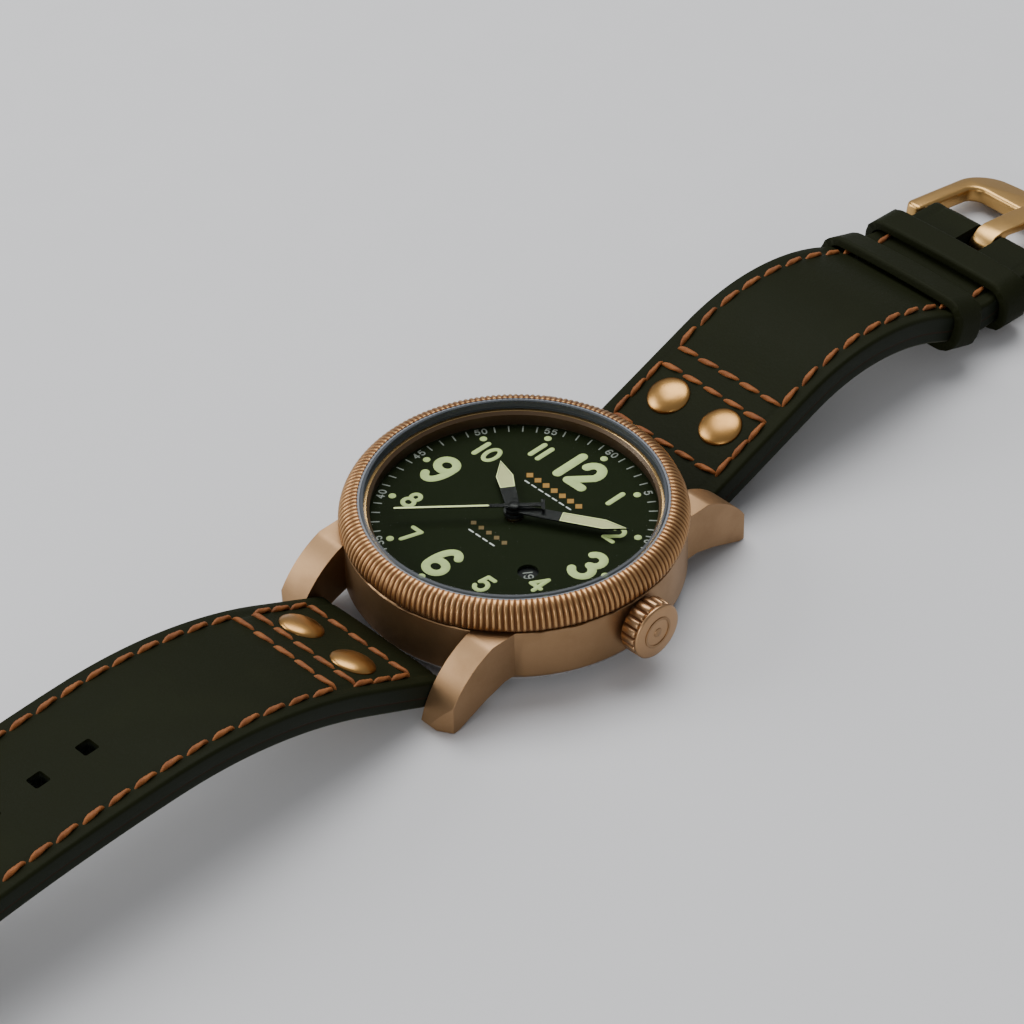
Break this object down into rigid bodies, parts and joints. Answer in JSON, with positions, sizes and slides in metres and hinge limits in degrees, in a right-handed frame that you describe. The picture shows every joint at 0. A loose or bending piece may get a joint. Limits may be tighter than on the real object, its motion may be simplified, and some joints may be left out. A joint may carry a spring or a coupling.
{
  "type": "wristwatch",
  "caption": "Round bronze wristwatch with a coin-edge bezel, green dial, fluted crown and a riveted, stitched leather strap laid open.",
  "frame": {"origin": "centre of the flat outer face of the case back", "axes": "+Z out through the dial, +Y to twelve o'clock along the strap, +X to three o'clock and the crown"},
  "size_m": [0.0459, 0.2443, 0.0161],
  "materials": {
    "bronze": "satin, bead-blasted",
    "sapphire": "polished",
    "seal": "matt",
    "steel": "brushed",
    "dial_green": "matt lacquer",
    "plate": "rhodium-plated, striped",
    "blued_steel": "blued",
    "ruby": "polished ruby",
    "brass": "circular-grained",
    "hand_black": "gloss black",
    "lume": "cream luminous fill",
    "date_black": "matt black",
    "leather": "waxed, dark green",
    "gilt": "satin gilt bronze"
  },
  "bodies": {
    "case": {"mid_case": "bronze", "bezel": "bronze", "crystal": "sapphire", "crystal_gasket": "seal", "rehaut_ring": "bronze", "case_back": "steel", "case_back_gasket": "seal", "crown_tube": "steel", "movement_ring": "seal", "dial": "dial_green", "mainplate": "plate", "barrel_bridge": "plate", "train_bridge": "plate", "balance_cock": "plate", "pallet_bridge": "plate", "bridge_screws": "blued_steel", "bearing_jewels": "ruby", "rotor_bearing": "steel", "spring_bars": "steel"},
    "keyless_works": {"winding_pinion": "steel"},
    "clutch": {"sliding_pinion": "steel"},
    "crown_and_stem": {"crown": "bronze", "crown_gasket": "seal", "winding_stem": "steel"},
    "setting_lever": {"setting_lever": "steel"},
    "crown_wheel": {"crown_wheel": "steel"},
    "ratchet": {"ratchet_wheel": "steel", "barrel_arbor": "steel"},
    "barrel": {"barrel_drum": "brass", "barrel_cover": "brass", "mainspring": "blued_steel"},
    "minutes": {"center_wheel": "brass", "center_pinion": "steel", "cannon_pinion": "steel", "minute_hand": "hand_black", "minute_lume": "lume"},
    "minute_wheel": {"minute_wheel": "brass"},
    "hours": {"hour_wheel": "brass", "hour_hand": "hand_black", "hour_lume": "lume"},
    "third": {"third_wheel": "brass", "third_pinion": "steel"},
    "seconds": {"fourth_wheel": "brass", "fourth_pinion": "steel", "seconds_hand": "hand_black"},
    "escape": {"escape_wheel": "steel"},
    "fork": {"pallet_fork": "steel"},
    "balance": {"balance_wheel": "brass", "hairspring": "blued_steel"},
    "rotor": {"rotor_weight": "plate"},
    "dates": {"date_ring": "date_black"},
    "strap_long": {"strap_6": "leather", "rivets_6": "gilt"},
    "strap_short": {"strap_12": "leather", "rivets_12": "gilt", "keeper_fixed": "leather"},
    "free_keeper": {"keeper_free": "leather"},
    "buckle": {"buckle_frame": "gilt", "buckle_bar": "gilt"},
    "tongue": {"buckle_tongue": "gilt"}
  },
  "joints": [
    {"name": "seconds_spin", "type": "hinge", "parent": "case", "child": "seconds", "pos_m": [0, 0, 0.005], "axis": [0, 0, 1], "continuous": true},
    {"name": "third_spin", "type": "hinge", "parent": "case", "child": "third", "pos_m": [0.00452, -0.0008, 0.005], "axis": [0, 0, 1], "continuous": true},
    {"name": "minutes_spin", "type": "hinge", "parent": "case", "child": "minutes", "pos_m": [0, 0, 0.005], "axis": [0, 0, 1], "continuous": true},
    {"name": "barrel_spin", "type": "hinge", "parent": "case", "child": "barrel", "pos_m": [0.00326, 0.00564, 0.005], "axis": [0, 0, 1], "continuous": true},
    {"name": "minute_wheel_spin", "type": "hinge", "parent": "case", "child": "minute_wheel", "pos_m": [-0.00053, -0.00299, 0.0085], "axis": [0, 0, 1], "continuous": true},
    {"name": "hours_spin", "type": "hinge", "parent": "case", "child": "hours", "pos_m": [0, 0, 0.009], "axis": [0, 0, 1], "continuous": true},
    {"name": "escape_spin", "type": "hinge", "parent": "case", "child": "escape", "pos_m": [-0.00269, -0.00321, 0.005], "axis": [0, 0, 1], "continuous": true},
    {"name": "fork_rock", "type": "hinge", "parent": "case", "child": "fork", "pos_m": [-0.00102, -0.00593, 0.0048], "axis": [0, 0, 1], "range_deg": [-5, 5]},
    {"name": "balance_swing", "type": "hinge", "parent": "case", "child": "balance", "pos_m": [0.0005, -0.0084, 0.0037], "axis": [0, 0, 1], "range_deg": [-270, 270]},
    {"name": "rotor_spin", "type": "hinge", "parent": "case", "child": "rotor", "pos_m": [0, 0, 0.0016], "axis": [0, 0, 1], "continuous": true},
    {"name": "date_spin", "type": "hinge", "parent": "case", "child": "dates", "pos_m": [0, 0, 0.009], "axis": [0, 0, 1], "continuous": true},
    {"name": "crown_turn", "type": "hinge", "parent": "case", "child": "keyless_works", "pos_m": [0.011, 0, 0.0061], "axis": [1, 0, 0], "continuous": true},
    {"name": "crown_pull", "type": "slide", "parent": "keyless_works", "child": "crown_and_stem", "axis": [1, 0, 0], "range_m": [0, 0.0018]},
    {"name": "clutch_slide", "type": "slide", "parent": "keyless_works", "child": "clutch", "axis": [1, 0, 0], "range_m": [-0.0008, 0.0001]},
    {"name": "setting_lever_swing", "type": "hinge", "parent": "case", "child": "setting_lever", "pos_m": [0.0102, 0.0034, 0.0084], "axis": [0, 0, 1], "range_deg": [-1, 30]},
    {"name": "crown_wheel_spin", "type": "hinge", "parent": "case", "child": "crown_wheel", "pos_m": [0.00933, 0.00343, 0.003], "axis": [0, 0, 1], "continuous": true},
    {"name": "ratchet_spin", "type": "hinge", "parent": "case", "child": "ratchet", "pos_m": [0.00326, 0.00564, 0.003], "axis": [0, 0, 1], "continuous": true},
    {"name": "strap_long_hinge", "type": "hinge", "parent": "case", "child": "strap_long", "pos_m": [0, -0.0236, 0.0029], "axis": [-1, 0, 0], "range_deg": [-95, 40]},
    {"name": "strap_short_hinge", "type": "hinge", "parent": "case", "child": "strap_short", "pos_m": [0, 0.0236, 0.0029], "axis": [1, 0, 0], "range_deg": [-95, 40]},
    {"name": "keeper_slide", "type": "slide", "parent": "strap_short", "child": "free_keeper", "axis": [0, 0.9493, -0.3143], "range_m": [-0.002, 0.002]},
    {"name": "buckle_hinge", "type": "hinge", "parent": "strap_short", "child": "buckle", "pos_m": [0, 0.08851, 0.00415], "axis": [1, 0, 0], "range_deg": [-80, 45]},
    {"name": "tongue_hinge", "type": "hinge", "parent": "buckle", "child": "tongue", "pos_m": [0, 0.08851, 0.00415], "axis": [1, 0, 0], "range_deg": [0, 70]}
  ],
  "couplings": [
    {"joint": "third_spin", "follows": "seconds_spin", "ratio": -0.13333},
    {"joint": "minutes_spin", "follows": "seconds_spin", "ratio": 0.016667},
    {"joint": "barrel_spin", "follows": "seconds_spin", "ratio": -0.0027778},
    {"joint": "minute_wheel_spin", "follows": "seconds_spin", "ratio": -0.0055556},
    {"joint": "hours_spin", "follows": "seconds_spin", "ratio": 0.0013889},
    {"joint": "escape_spin", "follows": "seconds_spin", "ratio": -10},
    {"joint": "crown_wheel_spin", "follows": "crown_turn", "ratio": 0.5},
    {"joint": "ratchet_spin", "follows": "crown_turn", "ratio": -0.33333},
    {"joint": "clutch_slide", "follows": "crown_pull", "ratio": -0.4},
    {"joint": "setting_lever_swing", "follows": "crown_pull", "rad_per_m": 260}
  ]
}
